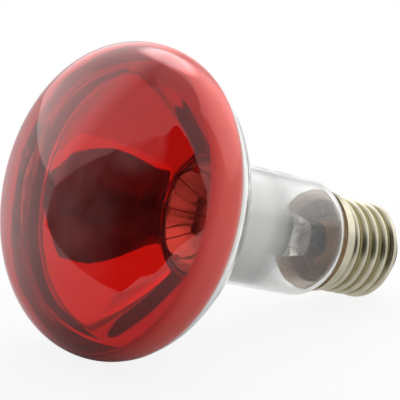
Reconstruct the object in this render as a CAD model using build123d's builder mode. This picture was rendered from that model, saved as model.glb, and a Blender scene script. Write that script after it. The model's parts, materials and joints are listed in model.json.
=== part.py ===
"""Red reflector lamp with an E27 screw cap, lying on its rim and its cap.

Sizes are millimetres. Heights run along the lamp's axis, from the tip of the cap to the crown
of the face. The lamp lies with its axis in the XZ plane, the face towards -X, on the plane Z = 0.
"""

import os
from math import acos, asin, atan2, cos, degrees, radians, sin, sqrt, tan

from build123d import *

os.makedirs("parts", exist_ok=True)

# Bulb glass, blown in one piece
overall_length = 113.0
bulb_diameter = 80.0
dome_radius = 77.0
rim_radius = 14.4
bowl_start_angle = 39.0
bowl_radius = 70.0
throat_fillet = 2.0
neck_diameter = 31.6
shoulder_height = 32.3
shoulder_radius = 8.0
seal_fillet = 2.0
seal_diameter = 22.4
seal_height = 19.6
glass_wall = 0.9

# Coats on the glass: red lacquer outside the face, aluminium mirror inside the bowl
coat = 0.1
coat_clearance = 0.05
lacquer_depth = 24.6
mirror_front_depth = 17.0
mirror_back_height = 52.0

# Glass stem, sealed to the end of the neck
stem_diameter = 10.4
stem_wall = 1.0
stem_top_height = 32.0
flare_radius = 9.0
flare_gap = 0.5
flare_foot = 1.0
pinch_width = 12.0
pinch_thickness = 4.4
pinch_taper = 4.0
pinch_top_height = 41.0
pinch_fillet = 0.8
exhaust_diameter = 3.8
exhaust_wall = 0.8
exhaust_tip_height = 11.0
rod_diameter = 2.4
button_diameter = 4.6
button_height = 55.0
button_length = 3.0
button_fillet = 0.9

# Filament, its leads and its supports
filament_height = 71.0
filament_arc_radius = 11.5
filament_coil_diameter = 0.9
filament_support_angles = (45.0, 90.0, 135.0)
support_wire_diameter = 0.3
support_eye_clearance = 0.15
support_eye_turn = 270.0
support_root_radius = 1.0
inner_lead_diameter = 0.8
outer_lead_diameter = 0.3
outer_lead_bend_radius = 1.0
contact_lead_bend_height = 12.0
contact_lead_drop = 1.8
rim_lead_bend_height = 18.4
rim_lead_low_height = 17.2
rim_lead_bend_radius = 0.4
rim_lead_overhang = 0.2
rim_lead_clearance = 0.05
lead_spacing = 6.0
lead_weld_height = 37.0
lead_splay_height = 45.0
lead_bend_radius = 3.0
lead_clamp_length = 2.0
lead_clamp_wall = 0.4

# Screw cap
thread_major_diameter = 26.2
thread_minor_diameter = 24.1
thread_pitch = 3.629
thread_start_angle = 160.0
cap_sheet = 0.3
cap_edge_height = 26.6
skirt_diameter = 27.2
skirt_height = 22.8
lip_diameter = 28.6
lip_length = 0.9
bead_diameter = 26.4
bead_height = 7.2
bead_fillet = 1.5
bead_land = 0.2
bead_cone_angle = 45.0
thread_runout = 0.9
cap_end_hole_diameter = 20.0
cement_recess = 0.3

# Insulator, contact and solder
insulator_plug_diameter = 21.6
insulator_plug_height = 8.2
insulator_nose_diameter = 17.0
contact_diameter = 9.8
contact_thickness = 1.2
contact_fillet = 0.4
contact_hole_diameter = 1.6
tip_solder_diameter = 3.6
tip_solder_depth = 0.6
rim_solder_radius = 1.1

lacquer_edge_height = overall_length - lacquer_depth
mirror_front_height = overall_length - mirror_front_depth
bulb_radius = bulb_diameter / 2
neck_radius = neck_diameter / 2
seal_radius = seal_diameter / 2
stem_radius = stem_diameter / 2
lip_radius = lip_diameter / 2
cap_end_height = bead_height - bead_fillet

# Centres of the arcs that make up the bulb's half section, as (radius, height)
dome_height = overall_length - dome_radius
rim_centre_radius = bulb_radius - rim_radius
rim_height = dome_height + sqrt((dome_radius - rim_radius) ** 2 - rim_centre_radius**2)
bowl_centre_offset = bowl_radius - rim_radius
bowl_centre_radius = rim_centre_radius - bowl_centre_offset * cos(radians(bowl_start_angle))
bowl_centre_height = rim_height + bowl_centre_offset * sin(radians(bowl_start_angle))
dome_end_angle = degrees(atan2(rim_height - dome_height, rim_centre_radius))
shoulder_angle = degrees(acos(1 - (neck_radius - seal_radius) / (shoulder_radius + seal_fillet)))
seal_top_height = shoulder_height - (shoulder_radius + seal_fillet) * sin(radians(shoulder_angle))

# The lamp rests on the tangent of two circles: the lacquered rim and the bead of the cap
rest_rim_radius = rim_radius + coat_clearance + coat
bead_centre_radius = bead_diameter / 2 - bead_fillet
rest_run = rim_height - bead_height
rest_rise = rim_centre_radius - bead_centre_radius
tilt = atan2(rest_rise, rest_run) + asin(
    (rest_rim_radius - bead_fillet) / sqrt(rest_run**2 + rest_rise**2)
)

# Where the tip of the cap lies when the lamp rests on Z = 0, centred on X = 0
crown_radius = dome_radius + coat_clearance + coat
tip_x = (dome_height * cos(tilt) + crown_radius - contact_diameter / 2 * sin(tilt)) / 2
tip_z = bead_fillet + bead_centre_radius * cos(tilt) - bead_height * sin(tilt)
tip = Vector(tip_x, 0, tip_z)
axis_direction = Vector(-cos(tilt), 0, sin(tilt))
upward = Vector(sin(tilt), 0, cos(tilt))
lamp = Plane(origin=tip, x_dir=upward, z_dir=axis_direction)
section = Plane(origin=tip, x_dir=upward, z_dir=upward.cross(axis_direction))
lamp_axis = Axis(tip, axis_direction)


def bulb_outline(inset):
    """Half section of the bulb, drawn a given distance inside the outer face of the glass."""
    neck = neck_radius - inset
    seal = seal_radius - inset
    bowl = bowl_radius - inset
    throat_height = bowl_centre_height - sqrt(bowl**2 - (neck - bowl_centre_radius) ** 2)
    throat_angle = degrees(atan2(throat_height - bowl_centre_height, neck - bowl_centre_radius))
    shoulder_centre = (neck_radius - shoulder_radius, shoulder_height)
    seal_centre = (seal_radius + seal_fillet, seal_top_height)
    with BuildSketch() as outline:
        with BuildLine():
            CenterArc((0, dome_height), dome_radius - inset, 90, dome_end_angle - 90)
            CenterArc(
                (rim_centre_radius, rim_height),
                rim_radius - inset,
                dome_end_angle,
                -dome_end_angle - bowl_start_angle,
            )
            CenterArc(
                (bowl_centre_radius, bowl_centre_height),
                bowl,
                -bowl_start_angle,
                throat_angle + bowl_start_angle,
            )
            Line((neck, throat_height), (neck, shoulder_height))
            CenterArc(shoulder_centre, shoulder_radius - inset, 0, -shoulder_angle)
            CenterArc(seal_centre, seal_fillet + inset, 180 - shoulder_angle, shoulder_angle)
            Polyline(
                (seal, seal_top_height),
                (seal, seal_height),
                (0, seal_height),
                (0, overall_length - inset),
            )
        make_face()
        throat = outline.vertices().sort_by_distance((neck, throat_height))[0]
        fillet(throat, throat_fillet + inset)
    return outline.sketch_local


def band(low, high):
    """Half section of the whole lamp between two heights, for trimming a coat."""
    with BuildSketch() as trim:
        with Locations((0, low)):
            Rectangle(bulb_diameter, high - low, align=(Align.MIN, Align.MIN))
    return trim.sketch_local


with BuildPart() as glass_envelope:
    with BuildSketch(section):
        add(bulb_outline(0))
        add(bulb_outline(glass_wall), mode=Mode.SUBTRACT)
    revolve(axis=lamp_axis)

with BuildPart() as red_lacquer:
    with BuildSketch(section):
        add(bulb_outline(-coat_clearance - coat))
        add(bulb_outline(-coat_clearance), mode=Mode.SUBTRACT)
        add(band(lacquer_edge_height, overall_length + 2 * (coat_clearance + coat)), mode=Mode.INTERSECT)
    revolve(axis=lamp_axis)

with BuildPart() as mirror_coating:
    with BuildSketch(section):
        add(bulb_outline(glass_wall + coat_clearance))
        add(bulb_outline(glass_wall + coat_clearance + coat), mode=Mode.SUBTRACT)
        add(band(mirror_back_height, mirror_front_height), mode=Mode.INTERSECT)
    revolve(axis=lamp_axis)


def wire(points, diameter, bend_radius):
    """A round wire along points given as (across, sideways, height) in the lamp's own frame."""
    with BuildPart() as bent:
        with BuildLine(lamp) as path:
            FilletPolyline(*points, radius=bend_radius)
        with BuildSketch(Plane(origin=path.wire() @ 0, z_dir=path.wire() % 0)):
            Circle(diameter / 2)
        sweep()
    return bent.part


# Filament: a coiled coil, drawn as the tube that it fills, in a half ring behind the face
with BuildPart() as filament:
    with BuildLine(lamp.offset(filament_height)) as filament_path:
        CenterArc((0, 0), filament_arc_radius, 0, 180)
    with BuildSketch(Plane(origin=filament_path.wire() @ 0, z_dir=filament_path.wire() % 0)):
        Circle(filament_coil_diameter / 2)
    sweep()

# Inner leads: stout wires from the pinch to the filament's ends, each with a folded clamp
clamp_diameter = filament_coil_diameter + 2 * lead_clamp_wall
lead_end_height = filament_height - clamp_diameter / 2
inner_leads = {}
for lead_name, side in (("inner_lead_upper", 1), ("inner_lead_lower", -1)):
    pinch_point = side * lead_spacing / 2
    clamp_point = side * filament_arc_radius
    bent_lead = wire(
        (
            (pinch_point, 0, lead_weld_height),
            (pinch_point, 0, lead_splay_height),
            (clamp_point, 0, lead_end_height - lead_bend_radius),
            (clamp_point, 0, filament_height),
        ),
        inner_lead_diameter,
        lead_bend_radius,
    )
    clamp_centre = lamp.from_local_coords((clamp_point, 0, filament_height))
    with BuildPart() as inner_lead:
        add(bent_lead)
        with BuildSketch(Plane(origin=clamp_centre, x_dir=upward, z_dir=(0, 1, 0))):
            Circle(clamp_diameter / 2)
        extrude(amount=lead_clamp_length / 2, both=True)
        add(filament.part, mode=Mode.SUBTRACT)
    inner_leads[lead_name] = inner_lead.part

# Filament supports: fine wires from the glass button, each ending in an eye round the filament
eye_radius = (filament_coil_diameter + support_wire_diameter) / 2 + support_eye_clearance
button_middle = button_height + button_length / 2
eye_drop = filament_height - button_middle
eye_reach = filament_arc_radius - support_root_radius
eye_distance = sqrt(eye_reach**2 + eye_drop**2)
eye_start_angle = degrees(atan2(-eye_drop, -eye_reach) + acos(eye_radius / eye_distance))
filament_supports = {}
for number, angle in enumerate(filament_support_angles, start=1):
    outward = lamp.from_local_coords(Vector(1, 0, 0).rotate(Axis.Z, angle)) - tip
    radial = Plane(origin=tip, x_dir=outward, z_dir=outward.cross(axis_direction))
    with BuildPart() as filament_support:
        with BuildLine(radial) as support_path:
            eye = CenterArc(
                (filament_arc_radius, filament_height),
                eye_radius,
                eye_start_angle,
                support_eye_turn,
            )
            Line((support_root_radius, button_middle), eye @ 0)
        with BuildSketch(Plane(origin=support_path.wire() @ 0, z_dir=support_path.wire() % 0)):
            Circle(support_wire_diameter / 2)
        sweep()
    filament_supports[f"filament_support_{number}"] = filament_support.part

# Outer leads: one runs down to the contact at the tip, one round the neck's end to the cap's edge
contact_lead = wire(
    (
        (lead_spacing / 2, 0, lead_weld_height),
        (lead_spacing / 2, 0, contact_lead_bend_height),
        (0, 0, exhaust_tip_height - contact_lead_drop),
        (0, 0, tip_solder_depth),
    ),
    outer_lead_diameter,
    outer_lead_bend_radius,
)
lead_slot_radius = seal_radius + outer_lead_diameter / 2 + rim_lead_clearance
lip_lead_radius = lip_radius - cap_sheet - outer_lead_diameter / 2 - rim_lead_clearance
rim_lead = wire(
    (
        (-lead_spacing / 2, 0, lead_weld_height),
        (-lead_spacing / 2, 0, rim_lead_bend_height),
        (0, lead_slot_radius, rim_lead_low_height),
        (0, lead_slot_radius, seal_top_height - outer_lead_bend_radius),
        (0, lip_lead_radius, cap_edge_height),
        (0, lip_radius + rim_lead_overhang, cap_edge_height + outer_lead_diameter),
    ),
    outer_lead_diameter,
    rim_lead_bend_radius,
)

# Stem: a flared tube sealed to the neck's end and pinched flat over the leads
flare_sweep = degrees(acos(1 - (seal_radius - glass_wall - flare_gap - stem_radius) / flare_radius))
flare_top_height = seal_height + flare_radius * sin(radians(flare_sweep))
stem_bore_radius = stem_radius - stem_wall
flare_foot_radius = seal_radius - glass_wall - flare_gap - stem_wall
with BuildPart() as glass_stem:
    with BuildSketch(section):
        with BuildLine():
            flare_centre = (stem_radius + flare_radius, flare_top_height)
            outer_flare = CenterArc(flare_centre, flare_radius, 180, flare_sweep)
            inner_flare = CenterArc(flare_centre, flare_radius + stem_wall, 180, flare_sweep)
            Line(outer_flare @ 1, inner_flare @ 1)
            Polyline(
                outer_flare @ 0,
                (stem_radius, stem_top_height),
                (stem_bore_radius, stem_top_height),
                inner_flare @ 0,
            )
        make_face()
        with Locations((flare_foot_radius, seal_height)):
            Rectangle(
                seal_radius - flare_foot_radius,
                flare_foot,
                align=(Align.MIN, Align.MAX),
            )
    revolve(axis=lamp_axis)
    with BuildSketch(lamp.offset(stem_top_height)):
        Circle(stem_radius)
    with BuildSketch(lamp.offset(stem_top_height + pinch_taper)):
        SlotOverall(pinch_width, pinch_thickness)
    loft()
    with BuildSketch(lamp.offset(stem_top_height + pinch_taper)):
        SlotOverall(pinch_width, pinch_thickness)
    extrude(amount=pinch_top_height - stem_top_height - pinch_taper)
    fillet(glass_stem.edges().group_by(lamp_axis)[-1], pinch_fillet)
    add(list(inner_leads.values()), mode=Mode.SUBTRACT)
    add([contact_lead, rim_lead], mode=Mode.SUBTRACT)

# Exhaust tube: drawn to a closed point inside the cap when the bulb was emptied
exhaust_radius = exhaust_diameter / 2
with BuildPart() as exhaust_tube:
    with BuildSketch(section):
        with BuildLine():
            tip_round = CenterArc((0, exhaust_tip_height + exhaust_radius), exhaust_radius, -90, 90)
            Polyline(
                tip_round @ 1,
                (exhaust_radius, stem_top_height),
                (exhaust_radius - exhaust_wall, stem_top_height),
                (exhaust_radius - exhaust_wall, exhaust_tip_height + exhaust_radius),
                (0, exhaust_tip_height + exhaust_wall),
                tip_round @ 0,
            )
        make_face()
    revolve(axis=lamp_axis)

# Support rod: drawn glass on top of the pinch, with the button that holds the support wires
with BuildPart() as support_rod:
    with BuildSketch(lamp.offset(pinch_top_height)):
        Circle(rod_diameter / 2)
    extrude(amount=button_height - pinch_top_height)
    with BuildSketch(lamp.offset(button_height)):
        Circle(button_diameter / 2)
    button = extrude(amount=button_length)
    fillet(button.edges().filter_by(GeomType.CIRCLE), button_fillet)
    add(list(filament_supports.values()), mode=Mode.SUBTRACT)

# Cap: brass sheet, drawn, rolled to a round thread and nickel plated
bead_radius = bead_diameter / 2
core_radius = thread_minor_diameter / 2 - 2 * cap_sheet
skirt_radius = skirt_diameter / 2
bead_cone_height = bead_height + bead_land
bead_cone_rise = (bead_radius - core_radius) / tan(radians(bead_cone_angle))


def cap_outline(inset):
    """Half section of the cap without its thread, drawn a given distance inside its outer face."""
    corner = inset * tan(radians(bead_cone_angle / 2))
    with BuildSketch() as outline:
        with BuildLine():
            bead = CenterArc((bead_centre_radius, bead_height), bead_fillet - inset, -90, 90)
            Polyline(
                bead @ 1,
                (bead_radius - inset, bead_cone_height - corner),
                (core_radius - inset, bead_cone_height + bead_cone_rise - corner),
                (core_radius - inset, skirt_height + inset),
                (skirt_radius - inset, skirt_height + inset),
                (skirt_radius - inset, cap_edge_height - lip_length),
                (lip_radius - inset, cap_edge_height),
                (0, cap_edge_height),
                (0, cap_end_height + inset),
                bead @ 0,
            )
        make_face()
    return outline.sketch_local


thread_radius = (thread_major_diameter + thread_minor_diameter) / 4
thread_offset = (thread_major_diameter - thread_minor_diameter) / 4
thread_length = skirt_height + thread_runout - bead_height


def thread_rod(inset):
    """A round rod whose centre winds along the axis, which makes the cap's round thread."""
    base = lamp.offset(bead_height)
    with BuildPart() as rod:
        with BuildLine() as winding:
            Helix(thread_pitch, thread_length, thread_offset, base.origin, base.z_dir)
        with BuildSketch(Plane(origin=winding.wire() @ 0, z_dir=axis_direction)):
            Circle(thread_radius - inset)
        sweep(path=winding.wire(), normal=axis_direction)
    return rod.part.rotate(lamp_axis, thread_start_angle)


outer_thread = thread_rod(0)
inner_thread = thread_rod(cap_sheet)

with BuildPart() as cap_cavity:
    with BuildSketch(section):
        add(cap_outline(cap_sheet))
    revolve(axis=lamp_axis)
    add(inner_thread)
    with BuildSketch(lamp):
        Circle(cap_end_hole_diameter / 2)
    extrude(amount=bead_height)

with BuildPart() as cap_shell:
    with BuildSketch(section):
        add(cap_outline(0))
    revolve(axis=lamp_axis)
    add(outer_thread)
    add(cap_cavity.part, mode=Mode.SUBTRACT)

# Cement: a ring of baked putty that fixes the skirt of the cap to the glass
with BuildPart() as basing_cement:
    with BuildSketch(section):
        add(cap_outline(cap_sheet))
        add(band(skirt_height + cap_sheet, cap_edge_height - cement_recess), mode=Mode.INTERSECT)
        add(bulb_outline(0), mode=Mode.SUBTRACT)
    revolve(axis=lamp_axis)
    add(rim_lead, mode=Mode.SUBTRACT)

# Insulator: black glass run into the end of the cap, with a hole for the lead
with BuildPart() as cap_insulator:
    with BuildSketch(section):
        with BuildLine():
            Polyline(
                (contact_hole_diameter / 2, insulator_plug_height),
                (insulator_plug_diameter / 2, insulator_plug_height),
                (insulator_plug_diameter / 2, cap_end_height + cap_sheet),
                (cap_end_hole_diameter / 2, cap_end_height + cap_sheet),
                (cap_end_hole_diameter / 2, cap_end_height),
                (insulator_nose_diameter / 2, contact_thickness),
                (contact_hole_diameter / 2, contact_thickness),
                close=True,
            )
        make_face()
    revolve(axis=lamp_axis)

# Contact: a brass eyelet on the insulator, countersunk for the solder
with BuildPart() as tip_contact:
    with BuildSketch(section) as eyelet:
        with BuildLine():
            Polyline(
                (tip_solder_diameter / 2, 0),
                (contact_diameter / 2, 0),
                (contact_diameter / 2, contact_thickness),
                (contact_hole_diameter / 2, contact_thickness),
                (contact_hole_diameter / 2, tip_solder_depth),
                close=True,
            )
        make_face()
        fillet(eyelet.vertices().sort_by_distance((contact_diameter / 2, 0))[0], contact_fillet)
    revolve(axis=lamp_axis)

with BuildPart() as tip_solder:
    with BuildSketch(section):
        with BuildLine():
            Polyline(
                (0, 0),
                (tip_solder_diameter / 2, 0),
                (contact_hole_diameter / 2, tip_solder_depth),
                (0, tip_solder_depth),
                close=True,
            )
        make_face()
    revolve(axis=lamp_axis)

# Rim solder: a bead over the cap's edge where the second lead is joined to it
with BuildPart() as rim_solder:
    with Locations(lamp.from_local_coords((0, lip_radius, cap_edge_height))):
        Sphere(rim_solder_radius)
    add([cap_shell.part, glass_envelope.part, basing_cement.part, rim_lead], mode=Mode.SUBTRACT)

pieces = {
    "glass_envelope": glass_envelope.part,
    "red_lacquer": red_lacquer.part,
    "mirror_coating": mirror_coating.part,
    "filament": filament.part,
    **inner_leads,
    **filament_supports,
    "outer_lead_contact": contact_lead,
    "outer_lead_rim": rim_lead,
    "glass_stem": glass_stem.part,
    "exhaust_tube": exhaust_tube.part,
    "support_rod": support_rod.part,
    "cap_shell": cap_shell.part,
    "basing_cement": basing_cement.part,
    "cap_insulator": cap_insulator.part,
    "tip_contact": tip_contact.part,
    "tip_solder": tip_solder.part,
    "rim_solder": rim_solder.part,
}
for node, piece in pieces.items():
    piece.label = node
    export_step(piece, f"parts/{node}.step")
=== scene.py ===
import json
from math import acos, atan2, cos, degrees, pi, radians, sin, sqrt

import bpy
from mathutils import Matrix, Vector


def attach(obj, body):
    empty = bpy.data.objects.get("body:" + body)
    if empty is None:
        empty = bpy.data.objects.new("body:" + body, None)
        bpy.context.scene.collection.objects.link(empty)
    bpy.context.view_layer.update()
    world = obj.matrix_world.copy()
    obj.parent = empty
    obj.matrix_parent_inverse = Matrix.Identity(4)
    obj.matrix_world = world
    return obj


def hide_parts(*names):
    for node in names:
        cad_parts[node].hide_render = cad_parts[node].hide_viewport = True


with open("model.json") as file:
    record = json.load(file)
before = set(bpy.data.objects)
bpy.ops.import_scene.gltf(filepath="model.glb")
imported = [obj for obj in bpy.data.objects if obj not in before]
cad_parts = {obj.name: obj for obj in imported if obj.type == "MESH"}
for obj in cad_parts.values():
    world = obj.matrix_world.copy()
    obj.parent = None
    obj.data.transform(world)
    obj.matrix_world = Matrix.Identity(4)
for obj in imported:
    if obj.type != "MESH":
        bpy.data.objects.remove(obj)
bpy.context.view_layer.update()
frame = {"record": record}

# The lamp lies on its side, on its rim and on the bead of its cap. The record's contact mount gives
# the tip of the cap and the way out of it, and every piece is laid out from there in millimetres:
# its distance from the lamp's axis, its angle round the axis, and its height above the tip.
millimetre = 0.001
contact_mount = next(m for m in frame["record"]["mounts"] if m["name"] == "tip_contact")
cap_tip = Vector((contact_mount["pos_m"][0], 0.0, contact_mount["pos_m"][2]))
to_face = -Vector(contact_mount["axis"]).normalized()
to_side = Vector((0.0, 1.0, 0.0))
to_top = to_side.cross(to_face)


def on_lamp(radius, angle, height):
    outward = to_top * cos(angle) + to_side * sin(angle)
    return cap_tip + (to_face * height + outward * radius) * millimetre


# Bulb glass: one blown shell of clear soda glass, with a domed face, a bowl that narrows to the neck and a
# shoulder that closes in under the cap. The stem is melted to its end, which is browned where the cement
# was baked on. The front of its outer skin belongs to the red lacquer, which is wetted to the glass there.
bulb_length = 113.0
dome_radius = 77.0
rim_radius = 14.4
rim_middle = 25.6
bowl_start_angle = 39.0
bowl_radius = 70.0
throat_fillet = 2.0
neck_radius = 15.8
shoulder_height = 32.3
shoulder_radius = 8.0
seal_fillet = 2.0
seal_radius = 11.2
seal_height = 19.6
glass_wall = 0.9
lacquer_edge = 88.4
neck_steps = 12
bulb_segments = 160
on_axis = 1e-6
turned_crease = radians(32)
clear_tone = (0.97, 0.98, 0.97)
browned_tone = (0.80, 0.53, 0.27)
browned_start = 23.0
browned_end = 28.0
haze_start = 30.0
haze_end = 62.0

dome_height = bulb_length - dome_radius
rim_height = dome_height + sqrt((dome_radius - rim_radius) ** 2 - rim_middle**2)
bowl_reach = bowl_radius - rim_radius
bowl_middle = rim_middle - bowl_reach * cos(radians(bowl_start_angle))
bowl_height = rim_height + bowl_reach * sin(radians(bowl_start_angle))
throat_middle = neck_radius + throat_fillet
throat_height = bowl_height - sqrt((bowl_radius + throat_fillet) ** 2 - (throat_middle - bowl_middle) ** 2)
throat_angle = degrees(atan2(bowl_height - throat_height, bowl_middle - throat_middle))
dome_angle = degrees(atan2(rim_height - dome_height, rim_middle))
shoulder_angle = degrees(acos(1 - (neck_radius - seal_radius) / (shoulder_radius + seal_fillet)))
shoulder_middle = neck_radius - shoulder_radius
closing_middle = seal_radius + seal_fillet
seal_top = shoulder_height - (shoulder_radius + seal_fillet) * sin(radians(shoulder_angle))
neck_length = throat_height - shoulder_height


def arc(middle, height, radius, start, end, steps):
    turns = [radians(start + (end - start) * step / steps) for step in range(steps + 1)]
    return [(middle + radius * cos(turn), height + radius * sin(turn)) for turn in turns]


def bulb_wall(inset):
    face = arc(0, dome_height, dome_radius - inset, 90, dome_angle, steps=40)
    rim = arc(rim_middle, rim_height, rim_radius - inset, dome_angle, -bowl_start_angle, steps=56)
    bowl = arc(bowl_middle, bowl_height, bowl_radius - inset, -bowl_start_angle, throat_angle - 180, steps=36)
    throat = arc(throat_middle, throat_height, throat_fillet + inset, throat_angle, 180, steps=10)
    neck_heights = [throat_height - neck_length * k / neck_steps for k in range(1, neck_steps)]
    neck = [(neck_radius - inset, height) for height in neck_heights]
    shoulder = arc(shoulder_middle, shoulder_height, shoulder_radius - inset, 0, -shoulder_angle, steps=18)
    closing = arc(closing_middle, seal_top, seal_fillet + inset, 180 - shoulder_angle, 180, steps=10)
    wall = face[:-1] + rim[:-1] + bowl[:-1] + throat + neck + shoulder[:-1] + closing
    return [(0.0, bulb_length - inset)] + wall[1:] + [(seal_radius - inset, seal_height)]


def placed(name, mesh):
    piece = bpy.data.objects.new(name, mesh)
    bpy.context.scene.collection.objects.link(piece)
    return piece


def shaped(name, points, faces, crease):
    mesh = bpy.data.meshes.new(name)
    mesh.from_pydata(points, [], faces)
    mesh.shade_smooth()
    mesh.set_sharp_from_angle(angle=crease)
    return placed(name, mesh)


def turned(name, profile, closed=True, segments=bulb_segments):
    points, rings, faces = [], [], []
    for radius, height in profile:
        count = segments if radius > on_axis else 1
        rings.append(range(len(points), len(points) + count))
        points += [on_lamp(radius, 2 * pi * k / segments, height) for k in range(count)]
    neighbours = list(zip(rings, rings[1:]))
    if closed:
        neighbours.append((rings[-1], rings[0]))
    for near, far in neighbours:
        for k in range(segments):
            n = (k + 1) % segments
            corners = near[k % len(near)], far[k % len(far)], far[n % len(far)], near[n % len(near)]
            face = list(dict.fromkeys(corners))
            if len(face) > 2:
                faces.append(face)
    return shaped(name, points, faces, turned_crease)


def seat(piece, slot, *nodes):
    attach(piece, "root")
    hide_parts(*nodes)


def new_finish(name):
    finish = bpy.data.materials.new(name)
    finish.use_nodes = True
    tree = finish.node_tree
    return finish, tree.nodes, tree.links, tree.nodes["Principled BSDF"]


def add_vector(nodes, links, operation, vector, constant=None):
    node = nodes.new("ShaderNodeVectorMath")
    node.operation = operation
    links.new(vector, node.inputs[0])
    if constant is not None:
        node.inputs[1].default_value = constant
    return node


lamp_place = bpy.data.node_groups.new("lamp_place", "ShaderNodeTree")
for socket in ("Height", "Radius"):
    lamp_place.interface.new_socket(socket, in_out="OUTPUT", socket_type="NodeSocketFloat")
nodes, links = lamp_place.nodes, lamp_place.links
place_point = nodes.new("ShaderNodeTexCoord")
from_tip = add_vector(nodes, links, "SUBTRACT", place_point.outputs["Object"], cap_tip)
in_mm = add_vector(nodes, links, "SCALE", from_tip.outputs["Vector"])
in_mm.inputs["Scale"].default_value = 1 / millimetre
along = add_vector(nodes, links, "DOT_PRODUCT", in_mm.outputs["Vector"], to_face)
across = add_vector(nodes, links, "CROSS_PRODUCT", in_mm.outputs["Vector"], to_face)
off_axis = add_vector(nodes, links, "LENGTH", across.outputs["Vector"])
place_out = nodes.new("NodeGroupOutput")
links.new(along.outputs["Value"], place_out.inputs["Height"])
links.new(off_axis.outputs["Value"], place_out.inputs["Radius"])

patches = bpy.data.node_groups.new("patches", "ShaderNodeTree")
for socket in ("Scale", "Detail", "Low", "High"):
    patches.interface.new_socket(socket, in_out="INPUT", socket_type="NodeSocketFloat")
for socket in ("Value", "Mask"):
    patches.interface.new_socket(socket, in_out="OUTPUT", socket_type="NodeSocketFloat")
nodes, links = patches.nodes, patches.links
patch_in = nodes.new("NodeGroupInput")
patch_out = nodes.new("NodeGroupOutput")
patch_point = nodes.new("ShaderNodeTexCoord")
patch_noise = nodes.new("ShaderNodeTexNoise")
patch_range = nodes.new("ShaderNodeMapRange")
patch_range.inputs["From Min"].default_value = 0.3
patch_range.inputs["From Max"].default_value = 0.7
links.new(patch_point.outputs["Object"], patch_noise.inputs["Vector"])
links.new(patch_in.outputs["Scale"], patch_noise.inputs["Scale"])
links.new(patch_in.outputs["Detail"], patch_noise.inputs["Detail"])
links.new(patch_noise.outputs["Fac"], patch_range.inputs["Value"])
links.new(patch_in.outputs["Low"], patch_range.inputs["To Min"])
links.new(patch_in.outputs["High"], patch_range.inputs["To Max"])
links.new(patch_range.outputs["Result"], patch_out.inputs["Value"])
links.new(patch_noise.outputs["Fac"], patch_out.inputs["Mask"])


def add_patches(nodes, scale, detail, low, high):
    node = nodes.new("ShaderNodeGroup")
    node.node_tree = patches
    node.inputs["Scale"].default_value = scale
    node.inputs["Detail"].default_value = detail
    node.inputs["Low"].default_value = low
    node.inputs["High"].default_value = high
    return node


def add_bump(nodes, links, height, shader, distance):
    bump = nodes.new("ShaderNodeBump")
    bump.inputs["Distance"].default_value = distance
    bump.inputs["Strength"].default_value = 1.0
    links.new(height, bump.inputs["Height"])
    links.new(bump.outputs["Normal"], shader.inputs["Normal"])


def add_place(nodes):
    node = nodes.new("ShaderNodeGroup")
    node.node_tree = lamp_place
    return node


def add_range(nodes, links, value, start, end, low, high):
    node = nodes.new("ShaderNodeMapRange")
    node.interpolation_type = "SMOOTHSTEP"
    node.inputs["From Min"].default_value = start
    node.inputs["From Max"].default_value = end
    node.inputs["To Min"].default_value = low
    node.inputs["To Max"].default_value = high
    links.new(value, node.inputs["Value"])
    return node.outputs["Result"]


def add_math(nodes, links, operation, first, second):
    node = nodes.new("ShaderNodeMath")
    node.operation = operation
    links.new(first, node.inputs[0])
    links.new(second, node.inputs[1])
    return node.outputs["Value"]


mix_share = 0
mix_first = 6
mix_second = 7
mix_result = 2


def add_tone(nodes, links, share, first, second):
    node = nodes.new("ShaderNodeMix")
    node.data_type = "RGBA"
    links.new(share, node.inputs[mix_share])
    for colour, socket in ((first, node.inputs[mix_first]), (second, node.inputs[mix_second])):
        if isinstance(colour, tuple):
            socket.default_value = (*colour, 1)
        else:
            links.new(colour, socket)
    return node.outputs[mix_result]


outer_wall = bulb_wall(0)
bare_wall = [point for point in outer_wall if point[1] < lacquer_edge]
glass_bulb = turned("glass_bulb", bare_wall + bulb_wall(glass_wall)[::-1], closed=False)
bulb_glass, nodes, links, shader = new_finish("bulb_glass")
shader.inputs["Transmission Weight"].default_value = 1.0
shader.inputs["IOR"].default_value = 1.5
shader.inputs["Specular IOR Level"].default_value = 0.2
height = add_place(nodes).outputs["Height"]
clear = add_range(nodes, links, height, browned_start, browned_end, 0.0, 1.0)
glass_tone = add_tone(nodes, links, clear, browned_tone, clear_tone)
links.new(glass_tone, shader.inputs["Base Color"])
neck_haze = add_range(nodes, links, height, haze_start, haze_end, low=0.05, high=0.0)
blown = add_patches(nodes, scale=60.0, detail=2.0, low=0.0, high=0.02)
haze = add_math(nodes, links, "ADD", neck_haze, blown.outputs["Value"])
links.new(haze, shader.inputs["Roughness"])
add_bump(nodes, links, blown.outputs["Mask"], shader, distance=0.00008)
glass_bulb.data.materials.append(bulb_glass)
seat(glass_bulb, "bulb_glass", "glass_envelope")

# Red lacquer: a transparent coat, dipped over the face and round the rim and baked glossy. It ends in a
# clean line just behind the widest place, with a slightly raised edge where the lacquer drew back.
lacquer_skin = 0.14
lacquer_start = lacquer_edge + 0.15
roll_height = lacquer_edge + 0.1
roll_skin = 0.12
light_red = (0.81, 0.0065, 0.0032)
full_red = (0.74, 0.0045, 0.0022)
deep_red = (0.18, 0.003, 0.003)
# A lighter red for the band behind the widest place: painted light, where that part of the rim catches bright
# light.
painted_light_red = (0.98, 0.075, 0.055)
slant_start = 0.36
slant_end = 0.8
lit_band_start = 94.5
lit_band_end = 98.4

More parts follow.
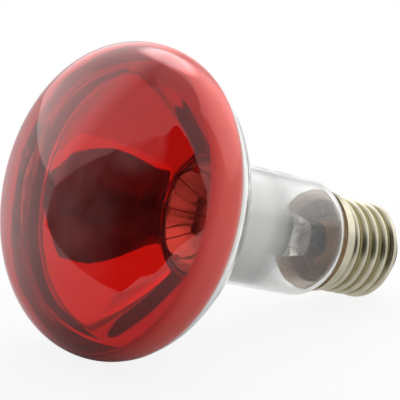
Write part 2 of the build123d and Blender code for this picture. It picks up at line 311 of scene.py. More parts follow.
lacquer_wall = [point for point in bulb_wall(-lacquer_skin) if point[1] > lacquer_start]
lacquer_roll = [(bare_wall[0][0] + roll_skin, roll_height), bare_wall[0]]
red_lacquer = turned("lacquer_coat", lacquer_wall + lacquer_roll, closed=False)
lacquer_red, nodes, links, shader = new_finish("lacquer_red")
shader.inputs["Transmission Weight"].default_value = 1.0
shader.inputs["IOR"].default_value = 1.5
dip = add_patches(nodes, scale=30.0, detail=3.0, low=0.0, high=1.0)
red_tone = add_tone(nodes, links, dip.outputs["Value"], full_red, light_red)
slant = nodes.new("ShaderNodeLayerWeight")
slant.inputs["Blend"].default_value = 0.5
deep = add_range(nodes, links, slant.outputs["Facing"], slant_start, slant_end, 0.0, 1.0)
deep_tone = add_tone(nodes, links, deep, red_tone, deep_red)
height = add_place(nodes).outputs["Height"]
# Towards its back end, behind the widest place, the lacquer is painted this lighter red as painted light.
lit_band = add_range(nodes, links, height, lit_band_start, lit_band_end, 1.0, 0.0)
lit_band_tone = add_tone(nodes, links, lit_band, deep_tone, painted_light_red)
links.new(lit_band_tone, shader.inputs["Base Color"])
dull = add_patches(nodes, scale=140.0, detail=4.0, low=0.01, high=0.035)
links.new(dull.outputs["Value"], shader.inputs["Roughness"])
peel = add_patches(nodes, scale=700.0, detail=1.0, low=0.0, high=1.0)
add_bump(nodes, links, peel.outputs["Mask"], shader, distance=0.000004)
red_lacquer.data.materials.append(lacquer_red)
seat(red_lacquer, "red_lacquer", "red_lacquer")

# Mirror: aluminium evaporated onto the inside of the bowl, bright within and satin white seen through
# the glass from behind. It reaches round the inside of the rim, is painted darker down the throat as
# painted shade in the neck, and thins out to a film down the neck.
mirror_front = 98.0
mirror_back = 27.0
mirror_gap = 0.05
mirror_skin = 0.1
throat_shade_tone = (0.14, 0.14, 0.135)
bright_tone = (0.76, 0.76, 0.75)
bright_start = 49.0
bright_end = 70.0
thin_tone = (0.3, 0.3, 0.29)
satin_white = (0.96, 0.96, 0.94)
satin_start = 43.0
satin_end = 56.0
coat_start = 45.0
coat_end = 58.0
coat_cover = 0.74
vapour_start = 34.0
vapour_end = 46.0
vapour_trace = 0.01
vapour_cover = 0.2
front_start = 96.6
front_cover = 0.6


def mirror_wall(inset):
    return [point for point in bulb_wall(inset) if mirror_back < point[1] < mirror_front]


mirror_film = bpy.data.node_groups.new("mirror_film", "ShaderNodeTree")
mirror_film.interface.new_socket("Height", in_out="INPUT", socket_type="NodeSocketFloat")
mirror_film.interface.new_socket("Cover", in_out="OUTPUT", socket_type="NodeSocketFloat")
nodes, links = mirror_film.nodes, mirror_film.links
film_height = nodes.new("NodeGroupInput").outputs["Height"]
coated = add_range(nodes, links, film_height, coat_start, coat_end, 0.0, coat_cover)
vapour = add_range(nodes, links, film_height, vapour_start, vapour_end, vapour_trace, vapour_cover)
film = add_math(nodes, links, "ADD", coated, vapour)
thin_front = add_range(nodes, links, film_height, front_start, mirror_front, 1.0, front_cover)
film_out = nodes.new("NodeGroupOutput")
links.new(add_math(nodes, links, "MULTIPLY", film, thin_front), film_out.inputs["Cover"])


def add_film(nodes, links, height):
    node = nodes.new("ShaderNodeGroup")
    node.node_tree = mirror_film
    links.new(height, node.inputs["Height"])
    return node.outputs["Cover"]


mirror_outside = mirror_wall(glass_wall + mirror_gap)
mirror_inside = mirror_wall(glass_wall + mirror_gap + mirror_skin)
mirror = turned("mirror_coat", mirror_outside + mirror_inside[::-1])
mirror_bright, nodes, links, shader = new_finish("mirror_bright")
shader.inputs["Metallic"].default_value = 1.0
cloud = add_patches(nodes, scale=90.0, detail=4.0, low=0.02, high=0.07)
links.new(cloud.outputs["Value"], shader.inputs["Roughness"])
height = add_place(nodes).outputs["Height"]
# The inside is painted darker from the bowl down into the throat: painted shade where the bowl narrows into
# the neck.
bright = add_range(nodes, links, height, bright_start, bright_end, 0.0, 1.0)
mirror_tone = add_tone(nodes, links, bright, throat_shade_tone, bright_tone)
links.new(mirror_tone, shader.inputs["Base Color"])
links.new(add_film(nodes, links, height), shader.inputs["Alpha"])
satin_back, nodes, links, shader = new_finish("satin_back")
shader.inputs["Metallic"].default_value = 0.04
grain = add_patches(nodes, scale=160.0, detail=4.0, low=0.34, high=0.5)
links.new(grain.outputs["Value"], shader.inputs["Roughness"])
height = add_place(nodes).outputs["Height"]
thick = add_range(nodes, links, height, satin_start, satin_end, 0.0, 1.0)
satin_tone = add_tone(nodes, links, thick, thin_tone, satin_white)
links.new(satin_tone, shader.inputs["Base Color"])
links.new(add_film(nodes, links, height), shader.inputs["Alpha"])
mirror.data.materials.append(satin_back)
mirror.data.materials.append(mirror_bright)
outside_faces = (len(mirror_outside) - 1) * bulb_segments
for face in mirror.data.polygons:
    face.material_index = 0 if face.index < outside_faces else 1
seat(mirror, "mirror", "mirror_coating")

# Stem: a hazy glass tube, flared and browned at its foot, melted to the end of the neck and pinched flat
# while hot round the two leads. The exhaust tube inside it was drawn to a closed point in the cap, and a
# thin rod with a button on its end stands on the pinch and holds the filament's supports.
stem_radius = 5.2
stem_wall = 1.0
stem_top = 32.0
stem_bore = stem_radius - stem_wall
stem_segments = 96
thin_segments = 48
flare_radius = 9.0
flare_foot = 18.6
flare_lap = 0.5
flare_steps = 20
foot_width = 2.4
stained_rows = range(4, 22)
pinch_half_width = 6.0
pinch_half_thickness = 2.2
pinch_top = 41.0
pinch_points = 72
pinch_steps = 24
pinch_squeezed = 11
pinch_round_start = 21
pinch_round = 0.8
pinch_side_power = 0.7
pinch_face_power = 0.85
lofted_crease = radians(40)
stem_tone = (0.82, 0.80, 0.73)
stain_dark = (0.20, 0.12, 0.06)
stain_light = (0.95, 0.52, 0.18)
exhaust_profile = [
    (1.9, stem_top),
    (1.9, 14.0),
    (1.7, 12.6),
    (1.0, 11.5),
    (0.4, 11.05),
    (0.0, 11.0),
    (0.0, 12.2),
    (0.5, 12.6),
    (1.1, 14.0),
    (1.1, stem_top),
]
rod_profile = [
    (0.0, 58.0),
    (1.4, 57.95),
    (2.0, 57.6),
    (2.3, 56.9),
    (2.3, 56.1),
    (2.0, 55.4),
    (1.5, 55.05),
    (1.25, 54.4),
    (1.2, 53.0),
    (1.2, 43.0),
    (1.35, 41.8),
    (1.6, pinch_top),
    (0.0, pinch_top),
]


def smooth_step(value, start, end):
    share = min(1.0, max(0.0, (value - start) / (end - start)))
    return share * share * (3 - 2 * share)


def lofted(name, rings, capped=True):
    count = len(rings[0])
    faces = []
    for level in range(len(rings) - 1):
        near, far = level * count, (level + 1) * count
        for k in range(count):
            n = (k + 1) % count
            faces.append((near + k, far + k, far + n, near + n))
    if capped:
        faces.append(tuple(range(count)))
        faces.append(tuple(range((len(rings) - 1) * count, len(rings) * count))[::-1])
    return shaped(name, [point for ring in rings for point in ring], faces, lofted_crease)


def pinch_ring(height, half_width, half_thickness):
    ring = []
    for k in range(pinch_points):
        turn = 2 * pi * k / pinch_points
        x = half_width * abs(cos(turn)) ** pinch_side_power * (1 if cos(turn) >= 0 else -1)
        y = half_thickness * abs(sin(turn)) ** pinch_face_power * (1 if sin(turn) >= 0 else -1)
        ring.append(on_lamp(sqrt(x * x + y * y), atan2(y, x), height))
    return ring


flare_sweep = degrees(acos(1 - (seal_radius - glass_wall - flare_lap - stem_radius) / flare_radius))
flare_end = 180 + flare_sweep
flare_middle = stem_radius + flare_radius
flare_top = seal_height + flare_radius * sin(radians(flare_sweep))
flare_outside = arc(flare_middle, flare_top, flare_radius, 180, flare_end, flare_steps)
flare_inside = arc(flare_middle, flare_top, flare_radius + stem_wall, 180, flare_end, flare_steps)
stem_foot = [(seal_radius, seal_height), (seal_radius, flare_foot), (seal_radius - foot_width, flare_foot)]
stem_profile = [(stem_radius, stem_top)] + flare_outside + stem_foot
stem_profile += flare_inside[::-1] + [(stem_bore, stem_top)]
stem_tube = turned("stem_tube", stem_profile, segments=stem_segments)
pinch_rings = []
for k in range(pinch_steps + 1):
    height = stem_top + (pinch_top - stem_top) * k / pinch_steps
    squeeze = smooth_step(k, 0, pinch_squeezed)
    round_share = max(0.0, (k - pinch_round_start) / (pinch_steps - pinch_round_start))
    round_off = round_share**2 * pinch_round
    half_width = stem_radius + (pinch_half_width - stem_radius) * squeeze - round_off
    half_thickness = stem_radius + (pinch_half_thickness - stem_radius) * squeeze - round_off
    pinch_rings.append(pinch_ring(height, half_width, half_thickness))
stem_pinch = lofted("stem_pinch", pinch_rings[::-1])
exhaust_tube = turned("exhaust", exhaust_profile, segments=thin_segments)
support_rod = turned("rod_and_button", rod_profile, segments=thin_segments)
stem_glass, nodes, links, shader = new_finish("stem_glass")
shader.inputs["Base Color"].default_value = (*stem_tone, 1)
shader.inputs["Transmission Weight"].default_value = 1.0
shader.inputs["IOR"].default_value = 1.52
shader.inputs["Specular IOR Level"].default_value = 0.25
ripple = add_patches(nodes, scale=350.0, detail=2.0, low=0.2, high=0.34)
links.new(ripple.outputs["Value"], shader.inputs["Roughness"])
add_bump(nodes, links, ripple.outputs["Mask"], shader, distance=0.0002)
stained_seal, nodes, links, shader = new_finish("stained_seal")
shader.inputs["Transmission Weight"].default_value = 0.35
shader.inputs["IOR"].default_value = 1.52
soot = add_patches(nodes, scale=210.0, detail=5.0, low=0.0, high=1.0)
stain_tone = add_tone(nodes, links, soot.outputs["Value"], stain_dark, stain_light)
links.new(stain_tone, shader.inputs["Base Color"])
scorch = add_patches(nodes, scale=500.0, detail=3.0, low=0.12, high=0.4)
links.new(scorch.outputs["Value"], shader.inputs["Roughness"])
add_bump(nodes, links, soot.outputs["Mask"], shader, distance=0.00006)
for piece in (stem_tube, stem_pinch, exhaust_tube, support_rod):
    piece.data.materials.append(stem_glass)
stem_tube.data.materials.append(stained_seal)
for face in stem_tube.data.polygons:
    face.material_index = 1 if face.index // stem_segments in stained_rows else 0
seat(stem_tube, "stem_glass", "glass_stem")
seat(exhaust_tube, "stem_glass", "exhaust_tube")
seat(support_rod, "stem_glass", "support_rod")
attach(stem_pinch, "root")

# Leads and supports: stout nickel wires run from the pinch to the ends of the filament and are folded
# over them as clamps, and three fine molybdenum wires from the button hold it in small eyes. Copper
# leads go on from the pinch, one to the contact at the tip and one round the neck's end to the rim.
filament_height = 71.0
filament_radius = 11.5
lead_gap = 3.0
lead_wire = 0.4
fine_wire = 0.15
clamp_steps = 8
clamp_points = 24
clamp_half_length = 1.0
clamp_radius = 0.83
clamp_taper = 0.12
clamp_flat = 0.95
eye_radius = 0.75
eye_sweep = radians(270.0)
eye_steps = 18
button_middle = 56.5
support_root = 1.0
wire_shade = 0.72
nickel = (0.66, 0.64, 0.60)
molybdenum = (0.5, 0.5, 0.52)
copper = (0.76, 0.42, 0.28)
inner_lead_path = [
    (lead_gap, 37.0),
    (lead_gap, 41.0),
    (lead_gap, 45.0),
    (5.2, 50.5),
    (9.0, 62.0),
    (filament_radius, 67.4),
    (filament_radius, 69.5),
    (filament_radius, 70.6),
]
contact_lead_path = [
    (lead_gap, 37.0),
    (lead_gap, 28.0),
    (lead_gap, 13.0),
    (2.4, 11.4),
    (0.6, 10.0),
    (0.0, 8.6),
    (0.0, 4.0),
    (0.0, 0.7),
]
rim_lead_path = [
    (-lead_gap, 0.0, 37.0),
    (-lead_gap, 0.0, 26.0),
    (-lead_gap, 0.0, 18.6),
    (-2.6, 1.6, 18.1),
    (-0.5, 9.6, 17.4),
    (0.0, 11.4, 17.4),
    (0.0, 11.4, 19.0),
    (0.0, 11.4, 22.4),
    (0.0, 13.55, 26.0),
    (0.0, 14.2, 26.75),
    (0.0, 14.45, 26.85),
]


def drawn_wire(name, points, radius, smooth=True):
    line = bpy.data.curves.new(name, "CURVE")
    line.dimensions = "3D"
    line.bevel_depth = radius * millimetre
    line.bevel_resolution = 3
    line.use_fill_caps = True
    line.resolution_u = 6
    spline = line.splines.new("NURBS" if smooth else "POLY")
    spline.points.add(len(points) - 1)
    for target, point in zip(spline.points, points):
        target.co = (*point, 1.0)
    if smooth:
        spline.order_u = 3
        spline.use_endpoint_u = True
    wire = bpy.data.objects.new(name + "_line", line)
    mesh = bpy.data.meshes.new_from_object(wire)
    bpy.data.objects.remove(wire)
    mesh.name = name
    mesh.shade_smooth()
    return placed(name, mesh)


def in_plane(angle, places):
    return [on_lamp(radius, angle, height) for radius, height in places]


def new_wire_finish(name, colour, low, high):
    finish, nodes, links, shader = new_finish(name)
    shader.inputs["Metallic"].default_value = 1.0
    tone = add_patches(nodes, scale=900.0, detail=3.0, low=0.0, high=1.0)
    shaded = tuple(part * wire_shade for part in colour)
    links.new(add_tone(nodes, links, tone.outputs["Value"], shaded, colour), shader.inputs["Base Color"])
    rub = add_patches(nodes, scale=2600.0, detail=2.0, low=low, high=high)
    links.new(rub.outputs["Value"], shader.inputs["Roughness"])
    add_bump(nodes, links, rub.outputs["Mask"], shader, distance=0.00001)
    return finish


nickel_wire = new_wire_finish("nickel_wire", nickel, low=0.22, high=0.4)
molybdenum_wire = new_wire_finish("molybdenum_wire", molybdenum, low=0.25, high=0.45)
copper_wire = new_wire_finish("copper_wire", copper, low=0.25, high=0.5)

for name, angle, way in (("upper", 0.0, 1), ("lower", pi, -1)):
    lead = drawn_wire(f"lead_{name}", in_plane(angle, inner_lead_path), lead_wire)
    clamp_rings = []
    for k in range(clamp_steps + 1):
        slide = clamp_half_length * (2.0 * k / clamp_steps - 1.0)
        swell = clamp_radius - clamp_taper * abs(slide) ** 3
        ring = []
        for j in range(clamp_points):
            turn = 2 * pi * j / clamp_points
            radius = filament_radius + swell * cos(turn)
            height = filament_height + swell * sin(turn) * clamp_flat
            ring.append(on_lamp(radius, angle, height) + to_side * way * slide * millimetre)
        clamp_rings.append(ring)
    clamp = lofted(f"clamp_{name}", clamp_rings)
    for piece in (lead, clamp):
        piece.data.materials.append(nickel_wire)
        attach(piece, "root")
    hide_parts(f"inner_lead_{name}")

eye_drop = filament_height - button_middle
eye_reach = filament_radius - support_root
eye_start = atan2(-eye_drop, -eye_reach) + acos(eye_radius / sqrt(eye_reach**2 + eye_drop**2))
support_path = [(support_root, button_middle)]
support_path += arc(
    filament_radius,
    filament_height,
    eye_radius,
    degrees(eye_start),
    degrees(eye_start + eye_sweep),
    eye_steps,
)
for number, angle in ((1, 45.0), (2, 90.0), (3, 135.0)):
    path = in_plane(radians(angle), support_path)
    support = drawn_wire(f"support_wire_{number}", path, fine_wire, smooth=False)
    support.data.materials.append(molybdenum_wire)
    seat(support, "support_wire", f"filament_support_{number}")

contact_lead = drawn_wire("contact_lead", in_plane(0.0, contact_lead_path), fine_wire)
rim_lead_points = [on_lamp(sqrt(x * x + y * y), atan2(y, x), height) for x, y, height in rim_lead_path]
rim_lead = drawn_wire("rim_lead", rim_lead_points, fine_wire)
for piece, node in ((contact_lead, "outer_lead_contact"), (rim_lead, "outer_lead_rim")):
    piece.data.materials.append(copper_wire)
    seat(piece, "copper_wire", node)

# Filament: tungsten wire wound to a fine coil and bent in a half ring behind the face, with its ends
# held in the clamps.
coil_radius = 0.34
coil_wire = 0.1
coil_turns = 62
coil_steps = coil_turns * 10
tungsten_grey = (0.30, 0.30, 0.33)

coil_points = []
for k in range(coil_steps + 1):
    share = k / coil_steps
    twist = 2 * pi * coil_turns * share
    radius = filament_radius + coil_radius * cos(twist)
    coil_points.append(on_lamp(radius, pi * share, filament_height + coil_radius * sin(twist)))
filament = drawn_wire("filament_coil", coil_points, coil_wire, smooth=False)
filament.data.materials.append(new_wire_finish("tungsten", tungsten_grey, low=0.35, high=0.55))
seat(filament, "tungsten", "filament")

# Cap: thin brass sheet, drawn to a cup, rolled to the round screw thread and nickel plated. Its skirt is
# plain and flares to a lip at the glass, and its end is turned in over the insulator as a round bead.
cap_sheet = 0.3
cap_edge = 26.6
cap_segments = 200
lip_radius = 14.3
lip_length = 0.9
lip_run = 0.3
lip_gain = 1.08
skirt_radius = 13.6
skirt_height = 22.8
skirt_run_low = 0.35
skirt_run_high = 0.45
thread_mean = 12.575
thread_depth = 0.525
thread_pitch = 3.629
thread_start = radians(160.0)
thread_steps = 132
bead_radius = 13.2
bead_height = 7.2
bead_land = 0.2
bead_run = 1.1
bead_round = 1.5
bead_steps = 12
cap_end = 5.7
end_hole = 10.0
groove_radius = 12.1
crest_radius = 12.95
plated_tone = (0.57, 0.535, 0.42)
tarnish_and_shade_tone = (0.25, 0.215, 0.11)
flux_dark = (0.22, 0.13, 0.05)
flux_light = (0.66, 0.45, 0.2)

bead_top = bead_height + bead_land
bead_middle = bead_radius - bead_round


def cap_ring(height, inset):
    skirt = smooth_step(height, skirt_height - skirt_run_low, skirt_height + skirt_run_high)
    bead = 1 - smooth_step(height, bead_top, bead_top + bead_run)
    lip = smooth_step(height, cap_edge - lip_length, cap_edge + lip_run) * lip_gain
    ring = []
    for k in range(cap_segments):
        angle = 2 * pi * k / cap_segments
        wind = angle - pi - thread_start - 2 * pi * (height - bead_height) / thread_pitch
        radius = thread_mean + thread_depth * cos(wind)
        radius += (skirt_radius - radius) * skirt
        radius += (bead_radius - radius) * bead
        radius += (lip_radius - skirt_radius) * lip
        ring.append(on_lamp(radius - inset, angle, height))
    return ring


def round_ring(radius, height):
    return [on_lamp(radius, 2 * pi * k / cap_segments, height) for k in range(cap_segments)]


cap_heights = [cap_edge - (cap_edge - bead_height) * k / thread_steps for k in range(thread_steps + 1)]
bead_outside = arc(bead_middle, bead_height, bead_round, 0, -90, bead_steps)
bead_inside = arc(bead_middle, bead_height, bead_round - cap_sheet, -90, 0, bead_steps)
end_profile = bead_outside[1:] + [(end_hole, cap_end), (end_hole, cap_end + cap_sheet)] + bead_inside[:-1]
cap_rings = [cap_ring(height, 0.0) for height in cap_heights]
cap_rings += [round_ring(radius, height) for radius, height in end_profile]
cap_rings += [cap_ring(height, cap_sheet) for height in cap_heights[::-1]]
cap_rings.append(cap_rings[0])
cap_shell = lofted("screw_cap", cap_rings, capped=False)
cap_metal, nodes, links, shader = new_finish("cap_metal")
shader.inputs["Metallic"].default_value = 1.0
place = add_place(nodes)
# The thread's grooves are painted darker than its crests as painted shade in the grooves, and random tarnish
# is added on top.
groove_shade = add_range(nodes, links, place.outputs["Radius"], groove_radius, crest_radius, 1.0, 0.0)
tarnish = add_patches(nodes, scale=260.0, detail=5.0, low=0.0, high=0.35)
tarnish_and_groove_shade = add_math(nodes, links, "ADD", groove_shade, tarnish.outputs["Value"])
tarnish_and_groove_shade.node.use_clamp = True
plating = add_tone(nodes, links, tarnish_and_groove_shade, plated_tone, tarnish_and_shade_tone)
links.new(plating, shader.inputs["Base Color"])
turning = nodes.new("ShaderNodeTexNoise")
turning.noise_dimensions = "1D"
turning.inputs["Scale"].default_value = 9.0
turning.inputs["Detail"].default_value = 4.0
links.new(place.outputs["Height"], turning.inputs["W"])
sheen = add_range(nodes, links, turning.outputs["Fac"], start=0.3, end=0.7, low=0.2, high=0.38)
links.new(sheen, shader.inputs["Roughness"])
add_bump(nodes, links, turning.outputs["Fac"], shader, distance=0.00002)
bare_brass, nodes, links, shader = new_finish("bare_brass")
shader.inputs["Metallic"].default_value = 0.8
flux = add_patches(nodes, scale=330.0, detail=5.0, low=0.0, high=1.0)
inside_tone = add_tone(nodes, links, flux.outputs["Value"], flux_dark, flux_light)
links.new(inside_tone, shader.inputs["Base Color"])
stain = add_patches(nodes, scale=700.0, detail=3.0, low=0.35, high=0.6)
links.new(stain.outputs["Value"], shader.inputs["Roughness"])
add_bump(nodes, links, flux.outputs["Mask"], shader, distance=0.00005)
cap_shell.data.materials.append(cap_metal)
cap_shell.data.materials.append(bare_brass)
outside_faces = (thread_steps + bead_steps + 1) * cap_segments
for face in cap_shell.data.polygons:
    face.material_index = 0 if face.index < outside_faces else 1
seat(cap_shell, "cap_metal", "cap_shell")

# Cement: pale brown putty of stone dust and resin, squeezed between the skirt and the glass and baked
# hard. It has run down the end of the glass as a thin smear, and shows as a thin line at the lip.
cement_top = 26.3
cement_bevel = 25.7
cement_low = 23.1
cement_lip_radius = 13.63
cement_radius = 13.3
cement_gap = 0.02
cement_foot = 0.5
cement_run = 0.4
smear_top_skin = 0.28
smear_skin = 0.24
smear_low = 19.65
ring_segments = 120
putty_brown = (0.86, 0.58, 0.31)
putty_pale = (1.0, 0.79, 0.49)

covered_wall = [point for point in outer_wall if seal_top < point[1] < cement_top]
cement_wall = [(radius + cement_gap, height) for radius, height in covered_wall]
cement_wall += [(seal_radius + cement_gap, seal_top), (seal_radius + cement_gap, smear_low)]
cement_profile = [
    (cement_lip_radius, cement_top),
    (cement_radius, cement_bevel),
    (cement_radius, cement_low),
    (seal_radius + cement_foot, cement_low),
    (seal_radius + smear_top_skin, cement_low - cement_run),
    (seal_radius + smear_skin, smear_low),
]
cement = turned("cement_ring", cement_profile + cement_wall[::-1], segments=ring_segments)
baked_putty, nodes, links, shader = new_finish("baked_putty")
grit = add_patches(nodes, scale=1500.0, detail=6.0, low=0.0, high=1.0)
putty = add_tone(nodes, links, grit.outputs["Value"], putty_brown, putty_pale)
links.new(putty, shader.inputs["Base Color"])
crumb = add_patches(nodes, scale=600.0, detail=4.0, low=0.75, high=0.95)
links.new(crumb.outputs["Value"], shader.inputs["Roughness"])
add_bump(nodes, links, grit.outputs["Mask"], shader, distance=0.00012)
cement.data.materials.append(baked_putty)
seat(cement, "cement", "basing_cement")

# Insulator: black glass run hot into the end of the cap, with smooth flow marks and a cone that leads
# down to the contact.
insulator_black = (0.012, 0.012, 0.014)
insulator_grey = (0.04, 0.04, 0.045)
insulator_profile = [
    (0.8, 8.2),
    (10.6, 8.2),
    (10.8, 8.0),
    (10.8, 6.05),
    (9.95, 6.0),
    (9.9, cap_end),
    (9.6, 4.6),
    (9.18, 3.3),
    (8.8, 2.15),
    (8.59, 1.5),
    (8.47, 1.26),
    (8.2, 1.2),
    (0.8, 1.2),
]

insulator = turned("insulator", insulator_profile, segments=ring_segments)
black_glass, nodes, links, shader = new_finish("black_glass")
shader.inputs["Specular IOR Level"].default_value = 0.2
flow = add_patches(nodes, scale=220.0, detail=4.0, low=0.0, high=1.0)
black = add_tone(nodes, links, flow.outputs["Value"], insulator_black, insulator_grey)
links.new(black, shader.inputs["Base Color"])
gloss = add_patches(nodes, scale=500.0, detail=3.0, low=0.12, high=0.3)
links.new(gloss.outputs["Value"], shader.inputs["Roughness"])
add_bump(nodes, links, flow.outputs["Mask"], shader, distance=0.00015)
insulator.data.materials.append(black_glass)
seat(insulator, "insulator", "cap_insulator")

# Contact: a small brass eyelet, stamped with a rounded edge and a countersunk hole and pressed onto the
# insulator while it was soft.
contact_segments = 96
brass_dark = (0.55, 0.42, 0.22)
brass_light = (0.78, 0.66, 0.40)
contact_profile = [
    (0.8, 1.2),
    (4.9, 1.2),
    (4.9, 0.4),
    (4.82, 0.2),
    (4.7, 0.08),
    (4.5, 0.0),
    (2.0, 0.0),
    (1.8, 0.06),
    (0.8, 0.6),
]

contact = turned("contact_eyelet", contact_profile, segments=contact_segments)
contact_brass, nodes, links, shader = new_finish("contact_brass")
shader.inputs["Metallic"].default_value = 1.0
worn = add_patches(nodes, scale=500.0, detail=5.0, low=0.0, high=1.0)
brass = add_tone(nodes, links, worn.outputs["Value"], brass_dark, brass_light)
links.new(brass, shader.inputs["Base Color"])
rub = add_patches(nodes, scale=1200.0, detail=3.0, low=0.2, high=0.42)
links.new(rub.outputs["Value"], shader.inputs["Roughness"])
add_bump(nodes, links, rub.outputs["Mask"], shader, distance=0.00002)
contact.data.materials.append(contact_brass)
seat(contact, "contact_brass", "tip_contact")

# Solder: grey tin solder that fills the eyelet's countersink level with its face, and a small bead that
# joins the second lead to the cap's lip on the far side.
solder_radius = 14.15
solder_steps = 16
solder_points = 32
solder_length = 0.75
solder_rise = 1.0
solder_width = 0.85
lump_large = 0.08
lump_small = 0.05
tin_dark = (0.40, 0.41, 0.42)
tin_light = (0.66, 0.67, 0.68)
fill_profile = [
    (0.0, 0.62),
    (0.78, 0.6),
    (1.3, 0.36),
    (1.74, 0.1),
    (1.6, 0.03),
    (1.1, 0.01),
    (0.5, 0.04),
    (0.0, 0.06),
]

tip_solder = turned("solder_fill", fill_profile, segments=thin_segments)
solder_rings = []
solder_middle = on_lamp(solder_radius, pi / 2, cap_edge)
for k in range(1, solder_steps):
    lean = pi * k / solder_steps
    ring = []
    for j in range(solder_points):
        turn = 2 * pi * j / solder_points
        lump = 1.0 + lump_large * sin(3 * turn + 1.0) * sin(lean) + lump_small * cos(2 * lean + turn)
        length = to_face * sin(lean) * cos(turn) * solder_length
        rise = to_top * sin(lean) * sin(turn) * solder_rise
        width = to_side * cos(lean) * solder_width
        ring.append(solder_middle + (length + rise + width) * lump * millimetre)
    solder_rings.append(ring)
rim_solder = lofted("solder_bead", solder_rings)
solder, nodes, links, shader = new_finish("solder")
shader.inputs["Metallic"].default_value = 1.0
frost = add_patches(nodes, scale=1400.0, detail=5.0, low=0.0, high=1.0)
tin = add_tone(nodes, links, frost.outputs["Value"], tin_dark, tin_light)
links.new(tin, shader.inputs["Base Color"])
dullness = add_patches(nodes, scale=900.0, detail=4.0, low=0.3, high=0.55)
links.new(dullness.outputs["Value"], shader.inputs["Roughness"])
add_bump(nodes, links, frost.outputs["Mask"], shader, distance=0.00006)
for piece, node in ((tip_solder, "tip_solder"), (rim_solder, "rim_solder")):
    piece.data.materials.append(solder)
    seat(piece, "solder", node)

# Studio: a pale floor that keeps the lamp's shadow and runs out to white, a white surround, one broad
# soft light behind and above, and a dark flag on the camera's side that the mirror and the gloss show.
floor_size = 3.0
floor_front = 0.13
front_turn = radians(-150.0)
paper_grey = (0.7, 0.7, 0.7)
face_spot = (-0.13, -0.02, 0.0)
seen_reach = (0.06, 0.2)
shown_reach = (0.08, 0.22)
pure_white = (1, 1, 1, 1)
fill_strength = 0.55
screen_height = 0.045
light_reach = 1.5
light_steps = 60
light_edge = [(-50.0, 8.0, 66.0), (40.0, 8.0, 66.0), (134.0, 8.0, 66.0)]
flag_reach = 0.9
flag_steps = 90
flag_edge = [
    (127.0, -12.0, 7.0),
    (138.0, -15.0, 18.0),
    (160.0, -15.0, 36.0),
    (176.0, -12.5, 45.0),
    (184.0, -11.0, 53.0),
    (192.0, -13.8, 58.0),
    (202.0, -15.4, 60.6),
    (211.0, -12.8, 60.0),
    (226.0, -5.8, 57.0),
    (240.0, -4.5, 50.0),
    (252.0, -4.0, 38.0),
    (266.0, -2.0, 20.0),
]

forward = Vector((cos(front_turn), sin(front_turn), 0.0))
sideways = Vector((-forward.y, forward.x, 0.0))
floor_corners = [
    forward * floor_front - sideways * floor_size,
    forward * floor_front + sideways * floor_size,
    forward * -floor_size + sideways * floor_size,
    forward * -floor_size - sideways * floor_size,
]
floor_mesh = bpy.data.meshes.new("studio_floor")
floor_mesh.from_pydata(floor_corners, [], [(0, 1, 2, 3)])
studio_floor = placed("studio_floor", floor_mesh)
floor_paper, nodes, links, shader = new_finish("floor_paper")
shader.inputs["Base Color"].default_value = (*paper_grey, 1)
shader.inputs["Roughness"].default_value = 0.9
floor_point = nodes.new("ShaderNodeTexCoord").outputs["Object"]
from_middle = add_vector(nodes, links, "LENGTH", floor_point)
camera_white = add_range(nodes, links, from_middle.outputs["Value"], *seen_reach, low=0.88, high=1.0)
from_face = add_vector(nodes, links, "DISTANCE", floor_point, face_spot)
mirror_white = add_range(nodes, links, from_face.outputs["Value"], *shown_reach, low=0.0, high=1.0)
path = nodes.new("ShaderNodeLightPath").outputs
shown = add_math(nodes, links, "MAXIMUM", path["Is Glossy Ray"], path["Is Transmission Ray"])
shown_white = add_math(nodes, links, "MULTIPLY", shown, mirror_white)
seen_white = add_math(nodes, links, "MULTIPLY", path["Is Camera Ray"], camera_white)
all_white = add_math(nodes, links, "MAXIMUM", shown_white, seen_white)
white = nodes.new("ShaderNodeEmission")
paper = nodes.new("ShaderNodeMixShader")
links.new(all_white, paper.inputs["Fac"])
links.new(shader.outputs["BSDF"], paper.inputs[1])
links.new(white.outputs["Emission"], paper.inputs[2])
links.new(paper.outputs["Shader"], nodes["Material Output"].inputs["Surface"])
studio_floor.data.materials.append(floor_paper)

surround = bpy.data.worlds.new("surround")
bpy.context.scene.world = surround
surround.use_nodes = True
nodes, links = surround.node_tree.nodes, surround.node_tree.links
soft_fill = nodes["Background"]
soft_fill.inputs["Color"].default_value = pure_white
soft_fill.inputs["Strength"].default_value = fill_strength
white_sky = nodes.new("ShaderNodeBackground")
white_sky.inputs["Color"].default_value = pure_white
white_sky.inputs["Strength"].default_value = 1.0
path = nodes.new("ShaderNodeLightPath").outputs
sky_shown = add_math(nodes, links, "MAXIMUM", path["Is Camera Ray"], path["Is Glossy Ray"])
sky_seen = add_math(nodes, links, "MAXIMUM", sky_shown, path["Is Transmission Ray"])
sky_mix = nodes.new("ShaderNodeMixShader")
links.new(sky_seen, sky_mix.inputs["Fac"])
links.new(soft_fill.outputs["Background"], sky_mix.inputs[1])
links.new(white_sky.outputs["Background"], sky_mix.inputs[2])
links.new(sky_mix.outputs["Shader"], nodes["World Output"].inputs["Surface"])


def heading(turn, rise):
    turn, rise = radians(turn), radians(rise)
    return Vector((cos(rise) * cos(turn), cos(rise) * sin(turn), sin(rise)))


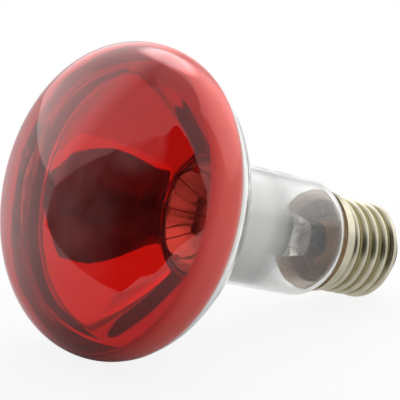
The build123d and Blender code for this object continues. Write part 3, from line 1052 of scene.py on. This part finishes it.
def add_screen(name, reach, edge, steps):
    points, faces = [], []
    for k in range(steps + 1):
        turn = edge[0][0] + (edge[-1][0] - edge[0][0]) * k / steps
        start = max(i for i, corner in enumerate(edge[:-1]) if corner[0] <= turn)
        share = (turn - edge[start][0]) / (edge[start + 1][0] - edge[start][0])
        for side in (1, 2):
            rise = edge[start][side] + (edge[start + 1][side] - edge[start][side]) * share
            points.append(heading(turn, rise) * reach + Vector((0, 0, screen_height)))
        if k:
            faces.append((2 * k - 2, 2 * k - 1, 2 * k + 1, 2 * k))
    mesh = bpy.data.meshes.new(name)
    mesh.from_pydata(points, [], faces)
    screen = placed(name, mesh)
    screen.visible_camera = False
    return screen


def add_way(nodes, links):
    point = nodes.new("ShaderNodeTexCoord")
    return add_vector(nodes, links, "NORMALIZE", point.outputs["Object"]).outputs["Vector"]


def add_glow(nodes, links, way, towards, inner, outer, low, high):
    near = add_vector(nodes, links, "DOT_PRODUCT", way, towards).outputs["Value"]
    return add_range(nodes, links, near, cos(radians(outer)), cos(radians(inner)), low, high)


def add_light(nodes, links, strength):
    glow = nodes.new("ShaderNodeEmission")
    links.new(strength, glow.inputs["Strength"])
    links.new(glow.outputs["Emission"], nodes["Material Output"].inputs["Surface"])


light_screen = add_screen("light_screen", light_reach, light_edge, light_steps)
screen_cloth, nodes, links = new_finish("screen_cloth")[:3]
way = add_way(nodes, links)
broad = add_glow(nodes, links, way, heading(88.0, 24.0), inner=26.0, outer=46.0, low=0.7, high=1.9)
right = add_glow(nodes, links, way, heading(-15.0, 45.0), inner=22.0, outer=60.0, low=0.0, high=1.9)
hot = add_glow(nodes, links, way, heading(45.0, 47.0), inner=9.0, outer=19.0, low=0.0, high=3.2)
wide_light = add_math(nodes, links, "MAXIMUM", broad, right)
add_light(nodes, links, add_math(nodes, links, "ADD", wide_light, hot))
light_screen.data.materials.append(screen_cloth)

camera_flag = add_screen("camera_flag", flag_reach, flag_edge, flag_steps)
flag_felt, nodes, links = new_finish("flag_felt")[:3]
way = add_way(nodes, links)
side_light = add_glow(nodes, links, way, heading(128.0, 10.0), inner=8.0, outer=40.0, low=0.05, high=0.4)
high_light = add_glow(nodes, links, way, heading(146.0, 46.0), inner=6.0, outer=27.0, low=0.05, high=0.75)
felt_light = add_math(nodes, links, "MAXIMUM", side_light, high_light)
room = add_patches(nodes, scale=6.0, detail=4.0, low=0.5, high=1.6)
room_light = add_math(nodes, links, "MULTIPLY", felt_light, room.outputs["Value"])
path = nodes.new("ShaderNodeLightPath").outputs
scattered = add_range(nodes, links, path["Diffuse Depth"], start=0.0, end=1.0, low=0.0, high=0.8)
add_light(nodes, links, add_math(nodes, links, "MAXIMUM", room_light, scattered))
camera_flag.visible_diffuse = False
camera_flag.visible_shadow = False
camera_flag.data.materials.append(flag_felt)

# Camera: a long lens held level, a little above the lamp and in front of its face, and fitted to the
# photograph's outline of the bulb and the cap.
camera_place = Vector((-0.347563, -0.418853, 0.167392))
camera_azimuth = radians(-38.99862)
camera_elevation = radians(13.78149)
focal_pixels = 2166.989
photo_pixels = 400.0
sensor_width = 36.0

camera_data = bpy.data.cameras.new("camera")
camera_data.sensor_width = sensor_width
camera_data.lens = focal_pixels / photo_pixels * sensor_width
camera_data.clip_start = 0.01
camera_data.clip_end = 20.0
camera = placed("camera", camera_data)
camera.location = camera_place
backward = Vector(
    (
        sin(camera_azimuth) * cos(camera_elevation),
        -cos(camera_azimuth) * cos(camera_elevation),
        sin(camera_elevation),
    )
)
camera.rotation_euler = backward.to_track_quat("Z", "Y").to_euler()
bpy.context.scene.camera = camera
bpy.context.scene.view_settings.view_transform = "Standard"
bpy.context.scene.cycles.max_bounces = 24
bpy.context.scene.cycles.transmission_bounces = 24
bpy.context.scene.cycles.glossy_bounces = 12
bpy.context.scene.cycles.transparent_max_bounces = 24
